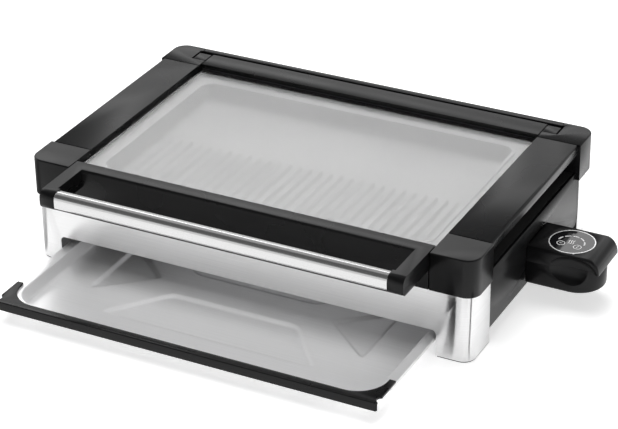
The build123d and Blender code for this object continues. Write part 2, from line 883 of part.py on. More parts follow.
# Lid
def handle_section(front, back, inset):
    """Handle profile in the YZ plane: a deep round on the upper front edge, a smaller one below."""
    low = body_height - handle_height + inset
    high = body_height - inset
    face = Pos((front + back) / 2, (low + high) / 2) * Rectangle(back - front, high - low)
    top_front = face.vertices().sort_by_distance((front, high, 0))[0]
    face = fillet(top_front, handle_top_round - inset)
    low_front = face.vertices().sort_by_distance((front, low, 0))[0]
    return fillet(low_front, handle_low_round - inset)


def profile_along_x(face, x0, x1):
    return extrude(Plane((x0, 0, 0), x_dir=(0, 1, 0), z_dir=(1, 0, 0)) * face, x1 - x0)


def lid_front_frame():
    front = -half_depth
    reach = front - handle_reach
    back = front + front_bar_depth
    lip_low = glass_bottom - gasket - front_bar_lip
    frame = block(-lid_half, lid_half, front, front + lid_wall, skirt_bottom + seat_gap, body_height)
    frame += block(-lid_half, lid_half, front, back, lip_low, body_height)
    frame = fillet(frame.edges().filter_by(Axis.X).group_by(Axis.Y)[0].sort_by(Axis.Z)[-1],
                   front_bar_round)
    groove_half = glass_half + gasket
    frame -= block(-groove_half, groove_half, back - groove_depth, back, glass_bottom - gasket,
                   glass_top + gasket)
    arm = handle_section(reach, front + lid_wall, 0)
    cap = handle_section(reach, reach + handle_depth + 1, 0)
    for side in (-1, 1):
        x0 = lid_half - arm_width if side > 0 else -lid_half
        frame += profile_along_x(arm, x0, x0 + arm_width)
        x0 = lid_half - cap_width if side > 0 else -lid_half
        frame += profile_along_x(cap, x0, x0 + cap_width)
    rod_end = lid_half - cap_width + handle_rod_seat
    y = reach + handle_depth / 2
    z = body_height - handle_height / 2
    return frame - along_x(-rod_end, rod_end, y, z, handle_rod_radius + running_gap / 2)


def lid_handle():
    reach = -half_depth - handle_reach
    end = lid_half - cap_width
    outer = handle_section(reach, reach + handle_depth, 0)
    inner = handle_section(reach + handle_sheet, reach + handle_depth - handle_sheet, handle_sheet)
    return profile_along_x(outer - inner, -end, end)


def handle_rod():
    reach = -half_depth - handle_reach
    end = lid_half - cap_width + handle_rod_seat
    return along_x(-end, end, reach + handle_depth / 2, body_height - handle_height / 2,
                   handle_rod_radius)


def lid_rear_rail():
    low = body_height - rear_rail_thick
    rail = block(-lid_half, lid_half, rear_rail_front, rear_rail_back, low, body_height)
    groove_half = glass_half + gasket
    rail -= block(-groove_half, groove_half, rear_rail_front, rear_rail_front + groove_depth,
                  glass_bottom - gasket, glass_top + gasket)
    lug = Pos(pivot_y, pivot_z) * Circle(lug_radius)
    lug += Pos(pivot_y, pivot_z + lug_radius / 2) * Rectangle(2 * lug_radius, lug_radius)
    lug -= Pos(pivot_y, pivot_z) * Circle(hinge_pin_radius + running_gap)
    lug -= Pos(pivot_y, pivot_z - lug_radius) * Rectangle(2 * (hinge_pin_radius + running_gap),
                                                        2 * lug_radius)
    for side in (-1, 1):
        x0 = lid_half if side > 0 else -lid_half - lug_length
        rail += profile_along_x(lug, x0, x0 + lug_length)
        edge = x0 if side > 0 else -lid_half - lug_groove
        rail -= block(edge, edge + lug_groove, rear_rail_front, rear_rail_back,
                      body_height - lug_groove_depth, body_height)
    return rail


def lid_glass():
    pane = slab(-glass_half, glass_half, glass_front, glass_back, glass_bottom, glass_top,
                glass_radius)
    return chamfer(pane.faces().sort_by(Axis.Z)[-1].edges(), glass_bevel)


def lid_gaskets():
    half = glass_half + gasket - 0.1
    front = -half_depth + front_bar_depth - groove_depth
    back = rear_rail_front + groove_depth
    seals = []
    for y0, y1, g0, g1 in ((front, front + groove_depth + gasket, glass_front, 0),
                           (back - groove_depth - gasket, back, 0, glass_back)):
        seal = block(-half, half, y0, y1, glass_bottom - gasket, glass_top + gasket)
        seals.append(seal - block(-glass_half, glass_half, g0, g1, glass_bottom, glass_top))
    return seals


# Control unit
def unit_upper_form():
    """Cap with a flat top whose far end curves down to the split line, as one profile along Y."""
    lines = Polyline((unit_face, unit_split), (unit_face, unit_top), (unit_end - unit_nose, unit_top))
    nose = EllipticalCenterArc((unit_end - unit_nose, unit_split), unit_nose,
                               unit_top - unit_split, start_angle=0, arc_size=90)
    base = Line((unit_end, unit_split), (unit_face, unit_split))
    face = make_face(Curve() + [lines, nose, base])
    form = extrude(Plane((0, unit_back, 0), x_dir=(1, 0, 0), z_dir=(0, -1, 0)) * face, unit_width)
    ends = [edge for edge in form.edges() if edge.center().X > unit_end - unit_nose + 1
            and edge.geom_type != GeomType.LINE]
    return fillet(ends, unit_corner)


def round_ended(inset, z0, z1):
    """Plate with a half round end away from the body, smaller by inset all round."""
    radius = unit_width / 2
    centre = unit_end - unit_lower_inset - radius
    start = unit_face + inset
    plan = Pos((start + centre) / 2, socket_y) * Rectangle(centre - start, 2 * (radius - inset))
    plan += Pos(centre, socket_y) * Circle(radius - inset)
    return extrude(Pos(0, 0, z0) * plan, z1 - z0)


def unit_lower_form():
    form = round_ended(0, unit_bottom, unit_split)
    return fillet(form.faces().sort_by(Axis.Z)[0].edges(), unit_corner)


def scoop():
    """Hollow for the fingers on the front face."""
    arc = EllipticalCenterArc((0, 0), scoop_half_length, scoop_half_height, start_angle=0,
                              arc_size=180)
    base = Line((-scoop_half_length, 0), (scoop_half_length, 0))
    lens = revolve(make_face(Curve() + [arc, base]), Axis.X, 360)
    flat = scale(lens, by=(1, scoop_reach / scoop_half_height, 1))
    return Pos(panel_outer + scoop_offset, unit_front + scoop_sink - scoop_reach,
               scoop_level) * flat


def unit_room(z0, z1):
    room = slab(unit_face + unit_wall, room_end, room_front, unit_back - unit_wall, z0, z1,
                room_radius)
    return room & round_ended(unit_wall, z0, z1)


def control_upper_shell():
    shell = unit_upper_form() - scoop()
    shell -= unit_room(unit_split, room_top)
    shell -= upright(disc_x, socket_y, unit_top - disc_thick, unit_top + 1,
                     ring_radius + running_gap)
    for x, y in unit_screw_spots:
        shell += upright(x, y, unit_split, room_top, unit_post_radius)
        shell -= upright(x, y, unit_split, unit_split + unit_screw_reach + 1,
                         unit_screw_radius + screw_slack)
    shell -= socket_prism(unit_face - 1, unit_face + unit_wall + 0.1, running_gap)
    return shell


def control_lower_shell():
    floor = unit_bottom + unit_wall
    shell = unit_lower_form() - scoop() - unit_room(floor, unit_split)
    for x, y in unit_screw_spots:
        shell += upright(x, y, floor, unit_split, unit_post_radius)
        shell -= upright(x, y, unit_bottom, unit_split, unit_screw_radius + screw_slack)
        shell -= upright(x, y, unit_bottom, unit_bottom + unit_screw_sink,
                         unit_screw_head_radius + 2 * screw_slack)
    for dx in (-1, 1):
        for dy in (-1, 1):
            x = board_x + dx * (board_length / 2 - board_post_inset)
            y = board_y + dy * (board_width / 2 - board_post_inset)
            shell += upright(x, y, floor, board_level, board_post_radius)
    shell -= socket_prism(unit_face - 1, unit_face + unit_wall + 0.1, running_gap)
    shell -= along_y(disc_x, unit_back - unit_wall - 1, unit_back + 1, gland_level,
                     gland_bore_radius)
    return shell


def plug_collar():
    end = unit_face + unit_wall
    collar = socket_prism(collar_tip, end, 0) - socket_prism(collar_tip, end - collar_floor,
                                                                 -collar_wall)
    for y in pin_rows():
        collar -= along_x(collar_tip, end - sleeve_floor, y, socket_z,
                          pin_radius + running_gap + sleeve_wall)
    return collar - along_x(collar_tip, end + 1, socket_y, socket_z, probe_radius)


def contact_sockets():
    sleeves = []
    end = unit_face + unit_wall - sleeve_floor
    for y in pin_rows():
        sleeve = along_x(collar_tip + 1, end, y, socket_z, pin_radius + running_gap + sleeve_wall)
        depth = terminal_back + pin_reach + 1
        sleeves.append(sleeve - along_x(collar_tip, depth, y, socket_z, pin_radius + running_gap))
    return sleeves


def temperature_probe():
    rod = along_x(probe_tip + probe_radius, unit_face + unit_wall, socket_y, socket_z, probe_radius)
    return rod + Pos(probe_tip + probe_radius, socket_y, socket_z) * Sphere(probe_radius)


def touch_disc():
    return upright(disc_x, socket_y, unit_top - disc_thick, unit_top, disc_radius)


def disc_ring():
    ring = upright(disc_x, socket_y, unit_top - disc_thick, unit_top, ring_radius)
    return ring - upright(disc_x, socket_y, unit_top - disc_thick, unit_top,
                          disc_radius + running_gap / 2)


def control_board():
    return block(board_x - board_length / 2, board_x + board_length / 2,
                 board_y - board_width / 2, board_y + board_width / 2, board_level,
                 board_level + board_thick)


def control_screws():
    screws = []
    low = unit_bottom + unit_screw_sink
    reach = unit_split + unit_screw_reach - low
    screw = hex_screw(unit_screw_head_radius, unit_screw_head, unit_screw_radius, reach)
    for x, y in unit_screw_spots:
        screws.append(Pos(x, y, low - unit_screw_head) * screw)
    return screws


def cord_gland():
    gland = Pos(disc_x, unit_back + gland_length / 2, gland_level) * Rot(-90, 0, 0) * Cone(
        gland_root_radius, gland_tip_radius, gland_length)
    return gland - along_y(disc_x, unit_back, unit_back + gland_length, gland_level,
                           gland_bore_radius)


def pieces():
    """Every node with its solid or its group of like solids."""
    rail = handle_rail()
    runner = tray_runner()
    back_post = rear_post()
    return {
        "corner_post_front_right": front_post(drawer_right + leg_slack),
        "corner_post_front_left": mirrored(front_post(-drawer_left + leg_slack)),
        "corner_post_rear_right": back_post,
        "corner_post_rear_left": mirrored(back_post),
        "rear_strip": rear_strip(),
        "hinge_pins": hinge_pins(),
        "housing_front": housing_front(),
        "housing_rear": housing_rear(),
        "side_panel_left": mirrored(side_panel()),
        "side_panel_right": side_panel_right(),
        "chassis": chassis(),
        "base_screws": base_screws(),
        "foot_pads": foot_pads(),
        "reflector_pan": reflector_pan(),
        "heating_element": heating_element(),
        "element_clips": element_clips(),
        "terminal_block": terminal_block(),
        "terminal_pins": terminal_pins(),
        "tray_runner_left": Pos(tray_offset, 0, 0) * mirrored(runner),
        "tray_runner_right": Pos(tray_offset, 0, 0) * runner,
        "drip_tray": drip_tray(),
        "tray_bar": tray_bar(),
        "grill_plate": grill_plate(),
        "rail_left": mirrored(rail),
        "rail_right": rail,
        "rail_screws": rail_screws(),
        "lid_front_frame": lid_front_frame(),
        "lid_rear_rail": lid_rear_rail(),
        "lid_glass": lid_glass(),
        "lid_gaskets": lid_gaskets(),
        "lid_handle": lid_handle(),
        "handle_rod": handle_rod(),
        "control_upper_shell": control_upper_shell(),
        "control_lower_shell": control_lower_shell(),
        "plug_collar": plug_collar(),
        "contact_sockets": contact_sockets(),
        "temperature_probe": temperature_probe(),
        "touch_disc": touch_disc(),
        "disc_ring": disc_ring(),
        "control_board": control_board(),
        "control_screws": control_screws(),
        "cord_gland": cord_gland(),
    }


def write_parts():
    os.makedirs("parts", exist_ok=True)
    to_row = Pos(frame_x, frame_y, 0)
    for name, shape in pieces().items():
        solids = shape if isinstance(shape, list) else [shape]
        placed = [to_row * solid for solid in solids]
        whole = placed[0] if len(placed) == 1 else Compound(children=placed)
        export_step(whole, f"parts/{name}.step")


write_parts()
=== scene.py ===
"""Electric table grill: the finish of its pieces, and a plain studio round it."""

import json
import math

import bmesh
import bpy
import numpy as np
from bpy.props import FloatProperty, FloatVectorProperty, PointerProperty
from bpy.types import Operator, Panel, PropertyGroup
from mathutils import Matrix, Vector


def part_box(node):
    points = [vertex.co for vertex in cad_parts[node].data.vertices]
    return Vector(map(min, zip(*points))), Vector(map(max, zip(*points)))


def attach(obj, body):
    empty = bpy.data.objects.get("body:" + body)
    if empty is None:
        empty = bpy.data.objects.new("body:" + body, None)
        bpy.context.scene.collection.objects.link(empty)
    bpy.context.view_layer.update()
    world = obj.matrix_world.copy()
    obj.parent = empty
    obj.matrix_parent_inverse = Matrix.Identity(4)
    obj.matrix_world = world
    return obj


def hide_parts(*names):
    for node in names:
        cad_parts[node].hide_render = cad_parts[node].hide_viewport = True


bl_info = {
    "name": "Table Grill Finish",
    "version": (1, 0, 0),
    "blender": (4, 5, 0),
    "location": "3D View > Sidebar > Table Grill",
    "description": "Finishes the pieces of an electric table grill and lights them",
    "category": "Object",
}

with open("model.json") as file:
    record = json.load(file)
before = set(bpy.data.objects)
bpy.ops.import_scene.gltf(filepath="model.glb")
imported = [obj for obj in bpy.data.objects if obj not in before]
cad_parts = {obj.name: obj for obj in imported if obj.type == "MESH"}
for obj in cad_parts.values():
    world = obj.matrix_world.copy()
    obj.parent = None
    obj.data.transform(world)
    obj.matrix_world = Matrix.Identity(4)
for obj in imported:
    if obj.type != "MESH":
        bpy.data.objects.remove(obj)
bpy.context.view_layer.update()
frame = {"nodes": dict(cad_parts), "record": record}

front_left, rear_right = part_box("corner_post_front_left")[0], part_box("corner_post_rear_right")[1]
MIDDLE = Vector(((front_left.x + rear_right.x) / 2, (front_left.y + rear_right.y) / 2, 0))

# The tray's pressed fields, in metres from its middle
TRAPEZOID = np.array([(-0.124, -0.0855), (0.124, -0.0855), (0.072, -0.0215), (-0.072, -0.0215)])
TRIANGLE = np.array([(0.157, -0.052), (0.157, 0.052), (0.097, 0.0)])

# The camera: its place in millimetres, its azimuth, elevation and roll in degrees, and its shift
CAMERA_PLACE = (986.38, -1906.59, 1213.9)
CAMERA_TURN = (27.36, 28.54, -0.79)
CAMERA_SHIFT = (-0.01002, -0.02091)


def mm(x, y, z):
    """A point given in millimetres from the middle of the body, on the table."""
    return MIDDLE + Vector((x, y, z)) / 1000


def length(name, text, value):
    return FloatProperty(name=name, description=text, default=value, min=0, unit="LENGTH",
                         precision=4)


class GrillFinish(PropertyGroup):
    frame_black: FloatVectorProperty(
        name="Frame black", description="Colour of the moulded frame, rails and lid frame",
        default=(0.005, 0.005, 0.0053), min=0, max=1, size=3, subtype="COLOR")
    panel_black: FloatVectorProperty(
        name="Panel black", description="Colour of the side panels", default=(0.006, 0.006, 0.0063),
        min=0, max=1, size=3, subtype="COLOR")
    control_black: FloatVectorProperty(
        name="Control black", description="Colour of the control unit",
        default=(0.005, 0.005, 0.0053), min=0, max=1, size=3, subtype="COLOR")
    steel: FloatVectorProperty(
        name="Steel", description="Colour of the brushed skirt", default=(0.95, 0.95, 0.952), min=0,
        max=1, size=3, subtype="COLOR")
    tray_steel: FloatVectorProperty(
        name="Tray steel", description="Colour of the drip tray", default=(0.96, 0.96, 0.965),
        min=0, max=1, size=3, subtype="COLOR")
    plate_grey: FloatVectorProperty(
        name="Plate grey", description="Colour of the coat on the grill plate",
        default=(0.15, 0.15, 0.151), min=0, max=1, size=3, subtype="COLOR")
    pane_roughness: FloatProperty(
        name="Pane roughness", description="Roughness of the lid's glass", default=0.195, min=0.02,
        max=1)
    edge: length("Edge", "Width of the eased edges of the mouldings", 0.0005)
    grain: length("Grain", "Size of the grain of the mouldings", 0.0007)


class GrillTray(PropertyGroup):
    sheet: length("Sheet", "Thickness of the tray's sheet", 0.0008)
    depth: length("Depth", "From the rim down to the floor", 0.013)
    rim: length("Rim", "Width of the flat rim", 0.0102)
    lip: length("Lip", "Height of the rim's turned edge", 0.003)
    corner: length("Corner", "Radius of the wall's corners at the rim", 0.0272)
    foot: length("Foot", "Radius between the floor and the wall", 0.003)
    field: length("Field", "Depth of the pressed fields", 0.0026)
    slope: length("Slope", "Width of the slopes round the pressed fields", 0.004)
    soft: length("Soft", "How far the corners of the pressed fields are rounded", 0.0022)
    bend: length("Bend", "Radius between the wall and the rim", 0.0014)
    edge: length("Edge", "Radius of the rim's outer edge", 0.0008)
    lean: FloatProperty(name="Lean", description="How far the wall leans outwards",
                        default=math.radians(18), min=0, max=1, subtype="ANGLE")


class GrillHandle(PropertyGroup):
    top_round: length("Top round", "Radius of the sleeve's upper front edge", 0.008)
    low_round: length("Low round", "Radius of the sleeve's lower front edge", 0.006)
    back_round: length("Back round", "Radius of the sleeve's back edges", 0.0008)
    sheet: length("Sheet", "Thickness of the sleeve", 0.0012)
    fall: length("Fall", "How far the sleeve's top drops towards its back edge", 0.0011)
    # Painted reflection: a black strip on the sleeve's lower front edge stands in for the dark
    # reflection of what lies below it
    seam: length("Seam", "Width of the dark seam along the sleeve's lower front edge", 0.0019)
    painted_reflection_start: FloatProperty(name="Seam start", description="Where the seam starts on the profile",
                              default=math.radians(202), min=0, subtype="ANGLE")
    proud: length("Proud", "How far the seam stands out of the sleeve", 0.0001)
    painted_reflection_sheet: length("Seam sheet", "Thickness of the seam's strip", 0.0003)
    end: length("End", "Length of the sleeve's crisp ends", 0.0003)


class GrillMarks(PropertyGroup):
    arc_radius: length("Arc radius", "Radius of the row of five bars", 0.0141)
    bar_width: length("Bar width", "Width of the five bars", 0.0016)
    icon_radius: length("Icon radius", "Radius of the round icons", 0.004)
    line: length("Line", "Width of the icons' lines", 0.0009)
    height: length("Height", "Thickness of the print", 0.00008)


class GrillStudio(PropertyGroup):
    lens: FloatProperty(name="Lens", description="Focal length of the camera in millimetres",
                        default=134.218, min=10)
    lamp: FloatProperty(name="Overhead lamp", description="Power of the lamp above", default=56.0,
                        min=0, unit="POWER")
    fill: FloatProperty(name="Side lamp", description="Power of the low lamp on the right",
                        default=15.0, min=0, unit="POWER")
    ambient: FloatProperty(name="Ambient", description="Strength of the soft light all round",
                           default=0.24, min=0)
    softbox: FloatProperty(name="Soft box", default=4.0, min=0,
                           description="Strength of the bright band behind the object")
    back: FloatProperty(name="Back", default=0.62, min=0,
                        description="Strength of what shines above the bright band")
    ceiling: FloatProperty(name="Ceiling", default=0.14, min=0,
                           description="Strength of what shines high up in front")
    floor_seen: FloatProperty(name="Floor seen", default=0.55, min=0,
                              description="Glow of the floor, as the camera sees it")
    floor_mirrored: FloatProperty(name="Floor mirrored", default=0.5, min=0,
                                  description="Glow of the floor, as polished faces show it")


# Node graphs

class Graph:
    """A material with one Principled shader, and a short way to add nodes to it."""

    def __init__(self, name, colour, roughness, metallic=0.0, **constants):
        if name in bpy.data.materials:
            bpy.data.materials[name].name = name + "_plain"
        self.material = bpy.data.materials.new(name)
        self.material.use_nodes = True
        self.nodes = self.material.node_tree.nodes
        self.links = self.material.node_tree.links
        self.shader = self.nodes["Principled BSDF"]
        self.output = self.nodes["Material Output"]
        self.shader.inputs["Base Color"].default_value = (*colour, 1)
        self.shader.inputs["Roughness"].default_value = roughness
        self.shader.inputs["Metallic"].default_value = metallic
        for socket, value in constants.items():
            self.shader.inputs[socket.replace("_", " ")].default_value = value

    def add(self, kind, inputs=(), **settings):
        """A new node. Inputs are pairs of a socket's name or number and a value or an output."""
        node = self.nodes.new(kind)
        for key, value in settings.items():
            setattr(node, key, value)
        for key, value in dict(inputs).items():
            if isinstance(value, bpy.types.NodeSocket):
                self.links.new(value, node.inputs[key])
            else:
                node.inputs[key].default_value = value
        return node

    def place(self, scale):
        """Object coordinates, stretched by scale along each axis."""
        coords = self.add("ShaderNodeTexCoord").outputs["Object"]
        return self.add("ShaderNodeMapping", {"Vector": coords, "Scale": scale}).outputs[0]

    def noise(self, scale, detail=2.0, stretch=(1, 1, 1)):
        return self.add("ShaderNodeTexNoise", {"Vector": self.place(stretch), "Scale": scale,
                                               "Detail": detail}).outputs["Fac"]

    def spread(self, value, low, high):
        """A value of about 0.3 to 0.7 carried over to low to high."""
        return self.add("ShaderNodeMapRange", {"Value": value, "From Min": 0.3, "From Max": 0.7,
                                               "To Min": low, "To Max": high}).outputs[0]

    def feed(self, socket, value):
        self.links.new(value, self.shader.inputs[socket])

    def tone(self, colour, value, low, high):
        """Base colour times a factor between low and high that follows value."""
        factor = self.spread(value, low, high)
        mix = self.add("ShaderNodeMix", {"Factor": 1.0, "A": (*colour, 1), "B": factor},
                       data_type="RGBA", blend_type="MULTIPLY")
        self.feed("Base Color", mix.outputs["Result"])

    def bump(self, value, height, before=None):
        inputs = {"Height": value, "Distance": height, "Strength": 1.0}
        if before:
            inputs["Normal"] = before
        out = self.add("ShaderNodeBump", inputs).outputs[0]
        self.feed("Normal", out)
        return out


def moulded(name, colour, roughness, grain, depth, **constants):
    """Moulded plastic: fine grain, with broad drifts in sheen and tone."""
    g = Graph(name, colour, roughness, **constants)
    drift = g.noise(9.0, 3.0)
    g.feed("Roughness", g.spread(drift, roughness - 0.04, roughness + 0.04))
    g.tone(colour, g.noise(45.0, 4.0), 0.9, 1.12)
    g.bump(g.noise(1 / grain, 2.0), depth)
    return g.material


def brushed(name, colour, roughness, stretch, depth, anisotropy=0.0, contrast=0.05, metallic=1.0):
    """Brushed metal: fine streaks, drawn out along the axis that stretch leaves short."""
    g = Graph(name, colour, roughness, metallic, Anisotropic=anisotropy, Anisotropic_Rotation=0.25)
    streaks = g.noise(1.0, 4.0, stretch)
    g.feed("Roughness", g.spread(streaks, roughness - 0.05, roughness + 0.05))
    g.tone(colour, streaks, 1 - contrast, 1 + contrast)
    g.bump(streaks, depth)
    if anisotropy:
        g.feed("Tangent", g.add("ShaderNodeTangent", direction_type="RADIAL", axis="Z").outputs[0])
    return g.material


def cast(name, colour, roughness, grain, depth, metallic=1.0):
    """Cast or coated metal: an even fine grit and faint clouds."""
    g = Graph(name, colour, roughness, metallic)
    clouds = g.noise(14.0, 4.0)
    g.feed("Roughness", g.spread(clouds, roughness - 0.04, roughness + 0.05))
    g.tone(colour, clouds, 0.96, 1.04)
    g.bump(g.noise(1 / grain, 3.0), depth)
    return g.material


def pane(roughness):
    """Clear pane, a little wiped, that lets light through to what lies under it."""
    g = Graph("lid_glass", (0.96, 0.96, 0.96), roughness, IOR=1.4, Transmission_Weight=1.0)
    g.feed("Roughness", g.spread(g.noise(12.0, 2.0), roughness - 0.015, roughness + 0.015))
    clear = g.add("ShaderNodeBsdfTransparent", {"Color": (0.94, 0.94, 0.94, 1)})
    shade = g.add("ShaderNodeLightPath").outputs["Is Shadow Ray"]
    mix = g.add("ShaderNodeMixShader", {0: shade, 1: g.shader.outputs[0], 2: clear.outputs[0]})
    g.links.new(mix.outputs[0], g.output.inputs["Surface"])
    return g.material


def finishes(look):
    """Every material of the object, by the record's slot names."""
    black = tuple(look.frame_black)
    return {
        "frame_plastic": moulded("frame_plastic", black, 0.28, look.grain, 0.000012,
                                 Specular_IOR_Level=0.2),
        "panel_plastic": moulded("panel_plastic", tuple(look.panel_black), 0.28, look.grain,
                                 0.00001, Specular_IOR_Level=0.15),
        "control_plastic": moulded("control_plastic", tuple(look.control_black), 0.3, look.grain,
                                   0.000012, Specular_IOR_Level=0.2),
        "chassis_plastic": moulded("chassis_plastic", (0.012, 0.012, 0.012), 0.6, 0.001, 0.00004),
        "housing_steel": brushed("housing_steel", tuple(look.steel), 0.34, (9, 9, 2600), 0.000002,
                                 1.0),
        "handle_steel": brushed("handle_steel", (0.62, 0.62, 0.62), 0.2, (7, 2400, 2400),
                                0.000003),
        "tray_steel": brushed("tray_steel", tuple(look.tray_steel), 0.34, (12, 1500, 1500),
                              0.000001, contrast=0.03, metallic=0.5),
        "plate_coating": cast("plate_coating", tuple(look.plate_grey), 0.6, 0.0006, 0.000002, 0.2),
        "reflector_sheet": brushed("reflector_sheet", (0.6, 0.6, 0.61), 0.3, (900, 20, 900),
                                   0.000004),
        "element_steel": cast("element_steel", (0.1, 0.095, 0.09), 0.5, 0.0015, 0.00003),
        "clip_steel": brushed("clip_steel", (0.5, 0.5, 0.5), 0.35, (40, 900, 900), 0.000003),
        "lid_glass": pane(look.pane_roughness),
        "disc_glass": moulded("disc_glass", (0.008, 0.008, 0.009), 0.05, 0.004, 0.000001, IOR=1.5,
                               Specular_IOR_Level=0.35),
        "ring_metal": brushed("ring_metal", (0.9, 0.9, 0.9), 0.3, (900, 900, 60), 0.000002,
                              metallic=0.3),
        "seal_rubber": moulded("seal_rubber", (0.03, 0.03, 0.032), 0.7, 0.0006, 0.00004),
        "foot_rubber": moulded("foot_rubber", (0.012, 0.012, 0.012), 0.8, 0.0008, 0.00006),
        "terminal_ceramic": cast("terminal_ceramic", (0.72, 0.7, 0.65), 0.45, 0.001, 0.00003, 0.0),
        "contact_metal": brushed("contact_metal", (0.75, 0.74, 0.7), 0.25, (60, 900, 900),
                                 0.000002),
        "screw_steel": brushed("screw_steel", (0.5, 0.5, 0.5), 0.35, (300, 300, 300), 0.000003),
        "board": cast("board", (0.02, 0.13, 0.05), 0.4, 0.003, 0.00002, 0.0),
    }


def material(name):
    return bpy.data.materials[name]


# Meshes

def surface(name, points, faces, slot, body, node=None, smooth=True):
    """A mesh from a table of points and one of faces, in a slot's material and on a body."""
    mesh = bpy.data.meshes.new(name)
    mesh.from_pydata(points.reshape(-1, 3), (), faces.reshape(-1, faces.shape[-1]))
    mesh.validate()
    mesh.polygons.foreach_set("use_smooth", np.full(len(mesh.polygons), smooth))
    piece = bpy.data.objects.new(name, mesh)
    bpy.context.collection.objects.link(piece)
    mesh.materials.append(material(slot))
    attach(piece, body)
    if node:
        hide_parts(node)
    return piece


def grid_faces(rows, columns, closed=False):
    """Quads of a grid, row after row. Closed joins its last column to the first."""
    row = np.arange(rows - 1)[:, None]
    column = np.arange(columns if closed else columns - 1)[None, :]
    right = (column + 1) % columns
    corners = (row * columns + column, row * columns + right, (row + 1) * columns + right,
               (row + 1) * columns + column)
    return np.stack(np.broadcast_arrays(*corners), -1).reshape(-1, 4)


def eased(node, width, segments=2, angle=28.0):
    """A merged copy of a CAD node with its sharp edges rounded. It takes the node's place."""
    source = frame["nodes"][node]
    slot = next(p["material_slot"] for p in frame["record"]["subparts"] if p["node"] == node)
    mesh = bmesh.new()
    mesh.from_mesh(source.data)
    bmesh.ops.remove_doubles(mesh, verts=mesh.verts, dist=2e-6)
    bmesh.ops.dissolve_limit(mesh, angle_limit=math.radians(0.5), verts=mesh.verts,
                             edges=mesh.edges, delimit={"NORMAL"})
    for face in mesh.faces:
        face.smooth = True
    copy = bpy.data.meshes.new(node + "_eased")
    mesh.to_mesh(copy)
    mesh.free()
    copy.materials.clear()
    copy.materials.append(material(slot))
    piece = bpy.data.objects.new(node + "_eased", copy)
    bpy.context.collection.objects.link(piece)
    bevel = piece.modifiers.new("Edges", "BEVEL")
    bevel.width = width
    bevel.segments = segments
    bevel.limit_method = "ANGLE"
    bevel.angle_limit = math.radians(angle)
    bevel.harden_normals = True
    body = next(name for name, nodes in frame["record"]["behaviour"]["bodies"].items()
                if node in nodes)
    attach(piece, body)
    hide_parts(node)
    return piece


def outline(half_x, half_y, radius, columns, arc):
    """A rounded rectangle as columns. Along a corner x is the radius times the sine of the angle
    turned, and the reach there is the half width less the radius times one less the cosine."""
    turn = np.linspace(0, np.pi / 2, arc + 1)
    side = half_x - radius
    x = np.concatenate((-side - radius * np.sin(turn[::-1]),
                        np.linspace(-side, side, columns)[1:-1],
                        side + radius * np.sin(turn)))
    lean = np.clip((np.abs(x) - side) / radius, 0, 1)
    cosine = np.sqrt(1 - lean ** 2)
    return x, half_y - radius * (1 - cosine), np.sign(x) * lean, cosine


def pan(half_x, half_y, radius, columns, rows, arc, height, steps, rises):
    """A floor over a rounded rectangle, y being a share of the reach at x and z the height there,
    and then the border carried outwards by steps, along its own normal, and up to rises."""
    x, reach, lean, cosine = outline(half_x, half_y, radius, columns, arc)
    share = np.linspace(-1, 1, rows)[:, None]
    flat_x = np.broadcast_to(x, (rows, len(x)))
    flat_y = share * reach
    ground = np.stack((flat_x, flat_y, height(flat_x, flat_y)), -1).reshape(-1, 3)

    number = np.arange(rows * len(x)).reshape(rows, len(x))
    border = np.concatenate((number[0], number[1:-1, -1], number[-1, ::-1], number[-2:0:-1, 0]))
    side = np.ones(rows - 2)
    normal_x = np.concatenate((lean, side, lean[::-1], -side))
    normal_y = np.concatenate((-cosine, 0 * side, cosine[::-1], 0 * side))
    wall = np.stack((ground[border, 0] + steps[:, None] * normal_x,
                     ground[border, 1] + steps[:, None] * normal_y,
                     np.broadcast_to(rises[:, None], (len(rises), len(border)))), -1)

    first = len(ground)
    above = first + np.arange(wall[..., 0].size).reshape(len(rises), -1)
    loops = np.concatenate((border[None, :], above))
    faces = loops.reshape(-1)[grid_faces(len(loops), len(border), closed=True)][:, ::-1]
    return (np.concatenate((ground, wall.reshape(-1, 3))),
            np.concatenate((grid_faces(rows, len(x)), faces)))


def sunk(x, y, corners, slope, soft):
    """How far a pressed field has sunk, from 0 to 1. The distance to its outline is the soft
    maximum of the distances to its sides, and the slope inside it is a smooth step."""
    start = np.array(corners)
    along = np.roll(start, -1, 0) - start
    along /= np.linalg.norm(along, axis=1)[:, None]
    away = ((x[..., None] - start[:, 0]) * along[:, 1] - (y[..., None] - start[:, 1]) * along[:, 0])
    inside = -np.log(np.exp(away / soft).sum(-1)) * soft
    share = np.clip(inside / slope, 0, 1)
    return share * share * (3 - 2 * share)


def thick(piece, thickness):
    """Gives a sheet its thickness, behind its face."""
    solid = piece.modifiers.new("Sheet", "SOLIDIFY")
    solid.thickness = thickness
    solid.offset = -1.0
    solid.use_even_offset = True
    return piece


def strips(inner, outer, z):
    """Flat strips between two sets of lines, each an array of lines by points by x and y."""
    edges = np.stack((inner, outer), 2)
    count, points = edges.shape[:2]
    table = np.concatenate((edges, np.full((*edges.shape[:3], 1), z)), -1)
    faces = grid_faces(points, 2)[None] + np.arange(count)[:, None, None] * points * 2
    return table.reshape(-1, 3), faces.reshape(-1, 4)


class GRILL_OT_finishes(Operator):
    """Gives every CAD node the material of its slot"""
    bl_idname = "grill.finishes"
    bl_label = "Finishes"

    def execute(self, context):
        materials = finishes(context.scene.grill_finish)
        for part in frame["record"]["subparts"]:
            data = frame["nodes"][part["node"]].data
            data.materials.clear()
            data.materials.append(materials[part["material_slot"]])
        return {"FINISHED"}


